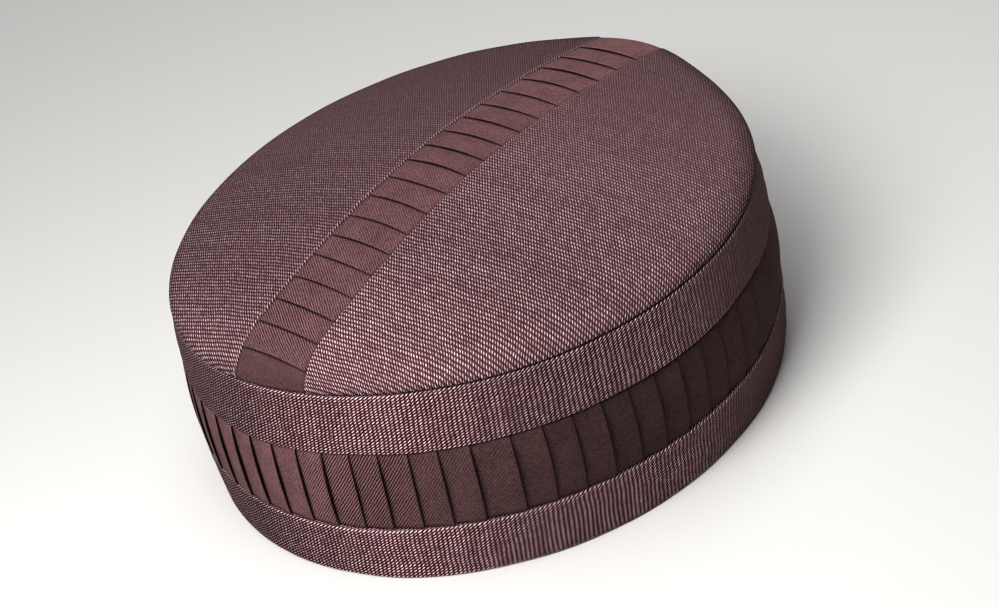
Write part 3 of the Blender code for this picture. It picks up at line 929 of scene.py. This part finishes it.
# Cloth that a step takes beyond the plan, in metres, and that the roll takes, as its share
TUCK_CLOTH = 0.0006
ROLL_CLOTH = 0.6
# The underside draws in near the seam, by this share from this share of the way on
UNDERSIDE_INSET = 0.02
INSET_START = 0.93

# Near the seam on the right the cloth was pulled towards the back as it was sewn: how far in
# the pull is felt, in millimetres, then direction and how far the yarns are pulled
PULL_REACH = 18.0
PULL_ROUND = np.array([
    (112, 0.0),
    (145, 3.0),
    (195, 3.6),
    (220, 0.0),
])

# Painted light and shade makes the panels darker in front, and less of the weave shows there:
# place along Y in millimetres, then how much of the weave shows and how light the cloth is
LEFT_CLEAR_AND_SHADE = np.array([
    (-90, 0.30, 0.57),
    (-50, 0.36, 0.60),
    (-20, 0.48, 0.63),
    (10, 0.72, 0.64),
    (35, 0.80, 0.65),
    (58, 0.88, 0.66),
    (68, 0.92, 0.79),
    (80, 0.95, 0.97),
])
RIGHT_CLEAR_AND_SHADE = np.array([
    (-90, 0.36, 0.68),
    (-50, 0.50, 0.74),
    (-20, 0.71, 0.81),
    (0, 0.86, 0.82),
    (35, 0.95, 0.81),
    (60, 0.98, 1.01),
    (70, 1.00, 1.11),
    (80, 1.00, 1.07),
])
# Painted shade darkens the cloth towards the seam, most on the right: direction, how light it is
# at the seam, and how many millimetres in it clears
RIM_PAINTED_SHADE = np.array([
    (60, 0.75, 3.0),
    (165, 0.84, 3.0),
    (195, 0.52, 8.0),
    (240, 0.42, 6.0),
    (330, 0.55, 3.4),
])
# Light on the fold beside the tape, on the last row of the rolled edge, and in the seam
FOLD_LIGHT = 0.3
LAST_ROW_LIGHT = 0.8
SEAM_LIGHT = 0.3
# The fold's shade clears in half a millimetre, and its cloth starts a little under its edge.
# The plain underside counts as far from any fold.
FOLD_CLEARS_MM = 0.5
FOLD_START_MM = 0.35
FAR_FROM_FOLD_MM = 5.0


def panel_grid(side):
    """Plan points of a panel: rows are arcs of equal crown share, from one point in the middle
    of the folded edge out to the seam, and columns run from the back along the arc to the
    front, with narrow steps beside the folded edge at both ends."""
    start = PANEL_EDGE / HALF_WIDTH
    near = start + EDGE_OFFSETS / HALF_WIDTH
    far = 1 - ROLL_SHARE
    reach = near[-1] + (far - near[-1]) * np.linspace(0, 1, PANEL_ROWS)[1:] ** 1.15
    roll = 1 - ROLL_SHARE * (1 - np.sin(np.radians(np.arange(11.25, 90.1, 11.25))))
    share = np.concatenate([near, reach, roll])[:, None]
    offset = PANEL_EDGE + EDGE_OFFSETS[None, :]
    behind = np.full((len(share), len(EDGE_OFFSETS)), 0.5)
    front = behind.copy()
    for _ in range(30):
        ends = np.pi / 2 - side * behind, np.pi / 2 - side * (np.pi - front)
        behind, front = (np.arcsin(np.clip(offset / (HALF_WIDTH * share * (1 + dent_share(a))), 0, 1))
                         for a in ends)
    between = np.linspace(0, 1, PANEL_COLUMNS)[None, 1:-1]
    first, last = behind[:, -1:], np.pi - front[:, -1:]
    sweep = np.hstack([behind, first + (last - first) * between, np.pi - front[:, ::-1]])
    angle = np.pi / 2 - side * sweep
    press = (1 + dent_share(angle)) * share
    x = HALF_WIDTH * np.cos(angle) * press
    y = HALF_LENGTH * np.sin(angle) * press - CROWN_LEAN
    return x, y, share + 0 * x


def dome_swell(x, y):
    """Two waves over the crown, one a product of cosines and one that runs askew."""
    long_size, long_x, long_y = LONG_SWELL
    askew_size, askew_x, askew_y = ASKEW_SWELL
    long_wave = long_size * np.cos(x * long_x + 1) * np.cos(y * long_y)
    return long_wave + askew_size * np.cos(x * askew_x - y * askew_y + 2)


def panel_lattice(x, y, share, flat_way, turn):
    """Map of a panel in millimetres: its plan spread flat, turned by the grain, and with the
    yarns pulled towards the back near the seam by the square of the nearness to it."""
    grain = math.radians(turn)
    flat_x, flat_y = x * flat_way / MM, (y + CROWN_LEAN) * flat_way / MM
    along = -(-flat_x * math.sin(grain) + flat_y * math.cos(grain))
    across = flat_x * math.cos(grain) + flat_y * math.sin(grain)
    pull = np.clip(1 - (1 - share) * CROWN_RADIUS / MM / PULL_REACH, 0, 1) ** 2
    around = np.degrees(np.arctan2(y, x)) % 360
    along = along + pull * np.interp(around, PULL_ROUND[:, 0], PULL_ROUND[:, 1])
    return joined(along, across).reshape(-1, 2)


def add_crown_panel(name, side, turn, clear_and_shade):
    """Panel: the crown's curve over the plan grid, dropped in a quarter circle at the folded
    edge, tucked in under the rolled edge, and closed by a plain underside one wall below."""
    x, y, share = panel_grid(side)
    fold = np.clip((np.abs(x) - PANEL_EDGE) / FOLD_ROUND, 0, 1)
    drop = FOLD_ROUND * (1 - np.sqrt(1 - (1 - fold) ** 2))
    flat = flatness(x, y)
    z = rolled_height(x, y) - drop + dome_swell(x, y) * flat * fold
    flat_way = 1 + EDGE_ROLL * (1 - flat) * ROLL_CLOTH / CROWN_RADIUS
    seam_x, seam_y = x[-1:], y[-1:]
    for inward, above in SEAM_TUCK:
        factor = 1 - FOLD_ROUND * inward ** 2 / CROWN_RADIUS
        tucked_x = seam_x * factor
        tucked_x = np.where(np.abs(tucked_x) < PANEL_EDGE, side * PANEL_EDGE, tucked_x)
        tucked_y = (seam_y + CROWN_LEAN) * factor - CROWN_LEAN
        x = np.vstack([x, tucked_x])
        y = np.vstack([y, tucked_y])
        z = np.vstack([z, seam_height(tucked_y) + above])
        share = np.vstack([share, 0 * tucked_x + 1])
        flat_way = np.vstack([flat_way, flat_way[-1:] + TUCK_CLOTH / CROWN_RADIUS])
    face = joined(x, y, z)

    inset = UNDERSIDE_INSET * np.clip((share - INSET_START) / (1 - INSET_START), 0, 1)
    under_x, under_y = x * (1 - inset), (y + CROWN_LEAN) * (1 - inset) - CROWN_LEAN
    under_x = np.where(np.abs(under_x) < PANEL_EDGE, side * PANEL_EDGE, under_x)
    under_z = dome_height(under_x, under_y) - CLOTH_WALL
    under_z[-1] = seam_height(under_y[-1])
    under = joined(under_x, under_y, under_z)
    points = turn_back_end(np.concatenate([face.reshape(-1, 3), under.reshape(-1, 3)]))
    quads, places = pillow_quads(*x.shape)
    lattice = panel_lattice(x, y, share, flat_way, turn)

    # painted light and shade on the cloth: along the cap, beside the tape and towards the seam
    to_seam = (1 - share) * CROWN_RADIUS / MM
    to_tape = (np.abs(x) - PANEL_EDGE) / MM + FOLD_START_MM
    beside_tape = FOLD_LIGHT + (1 - FOLD_LIGHT) * np.clip(to_tape / FOLD_CLEARS_MM, 0, 1)
    around = np.degrees(np.arctan2(y, x))
    rim_light, rim_width = from_table(around, RIM_PAINTED_SHADE, 1), from_table(around, RIM_PAINTED_SHADE, 2)
    from_rim = np.clip(to_seam / rim_width, 0, 1) ** 0.7
    shade = np.interp(y / MM, clear_and_shade[:, 0], clear_and_shade[:, 2]) * beside_tape
    shade = shade * (rim_light + (1 - rim_light) * from_rim)
    shade[-3:-2] = shade[-3:-2] * LAST_ROW_LIGHT
    shade[-2:] = SEAM_LIGHT
    clear = np.interp(y / MM, clear_and_shade[:, 0], clear_and_shade[:, 1])
    plain = np.ones(x.size)
    panel = add_cloth(name + "_cloth", points, quads, lattice[places],
                      hopsack(name + "_hopsack", PANEL_COLUMN_MM, PANEL_ROW_MM, 0.0, pits=PANEL_PITS),
                      edge_mm=np.concatenate([to_tape.ravel(), plain * FAR_FROM_FOLD_MM]),
                      shade=np.concatenate([shade.ravel(), plain]),
                      clear=np.concatenate([clear.ravel(), plain]))
    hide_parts(name)


# The grain turns from the cap's middle line by 7 degrees on the left and half that on the right
add_crown_panel("crown_panel_left", side=1, turn=7.0, clear_and_shade=LEFT_CLEAR_AND_SHADE)
add_crown_panel("crown_panel_right", side=-1, turn=3.5, clear_and_shade=RIGHT_CLEAR_AND_SHADE)


# Floor, light and camera
# A plain pale floor. A small key light stands high behind the cap and close to it, a large
# one hangs overhead, and a weak one fills in the front.

# A matt pale board, which takes a soft shadow and shows hardly any gloss
FLOOR_HALF = 6
FLOOR_HEIGHT = -0.0002
floor_material = bare_material("pale_floor")
floor_finish = add_node(floor_material, "ShaderNodeBsdfPrincipled",
                        {"Base Color": srgb("d6d5d3"), "Roughness": 0.8})
add_node(floor_material, "ShaderNodeOutputMaterial", {"Surface": floor_finish[0]})
floor_mesh = bpy.data.meshes.new("floor")
floor_mesh.from_pydata([(x * FLOOR_HALF, y * FLOOR_HALF, FLOOR_HEIGHT)
                        for x, y in ((-1, -1), (1, -1), (1, 1), (-1, 1))], [], [(0, 1, 2, 3)])
floor_mesh.materials.append(floor_material)
floor = bpy.data.objects.new("floor", floor_mesh)
bpy.context.scene.collection.objects.link(floor)


def add_light(name, direction, height, distance, size, watts):
    """Square soft light that faces the cap, from a direction and height in degrees."""
    light = bpy.data.lights.new(name, "AREA")
    light.shape = "SQUARE"
    light.size = size
    light.energy = watts
    turn, tilt = math.radians(direction), math.radians(height)
    away = Vector((math.cos(turn) * math.cos(tilt), math.sin(turn) * math.cos(tilt), math.sin(tilt)))
    lamp = bpy.data.objects.new(name, light)
    lamp.location = away * distance + Vector((0, 0, 0.04))
    lamp.rotation_euler = away.to_track_quat("Z", "Y").to_euler()
    bpy.context.scene.collection.objects.link(lamp)


add_light("key", 108, 51, 0.58, 0.34, 4.0)
add_light("overhead", 90, 88, 4.5, 4.0, 130)
add_light("front_fill", 295, 28, 2.4, 1.2, 8.0)

# A faint cool fill comes from all round, and the mid tones are deepened a little
world = bpy.data.worlds.new("fill")
world.use_nodes = True
world.node_tree.nodes["Background"].inputs["Color"].default_value = srgb("f4f5f8")
world.node_tree.nodes["Background"].inputs["Strength"].default_value = 0.08
bpy.context.scene.world = world
bpy.context.scene.view_settings.view_transform = "Standard"
bpy.context.scene.view_settings.gamma = 0.78

# The camera looks down at the back of the cap from its right side, a little rolled
CAMERA_PLACE = Vector((-0.39854, 0.32205, 0.36307))
VIEW_AZIMUTH = math.radians(230.546)
VIEW_ELEVATION = math.radians(33.537)
VIEW_ROLL = math.radians(17.589)
camera_data = bpy.data.cameras.new("camera")
camera_data.lens = 70.334
camera_data.sensor_width = 36
camera = bpy.data.objects.new("camera", camera_data)
away = Vector((-math.sin(VIEW_AZIMUTH) * math.cos(VIEW_ELEVATION),
               math.cos(VIEW_AZIMUTH) * math.cos(VIEW_ELEVATION), -math.sin(VIEW_ELEVATION)))
level = away.cross(Vector((0, 0, 1))).normalized()
plumb = away.cross(level)
right = level * math.cos(VIEW_ROLL) + plumb * math.sin(VIEW_ROLL)
down = away.cross(right)
camera.matrix_world = Matrix.Translation(CAMERA_PLACE) @ Matrix(
    [(right[k], -down[k], -away[k]) for k in range(3)]).to_4x4()
bpy.context.scene.collection.objects.link(camera)
bpy.context.scene.camera = camera
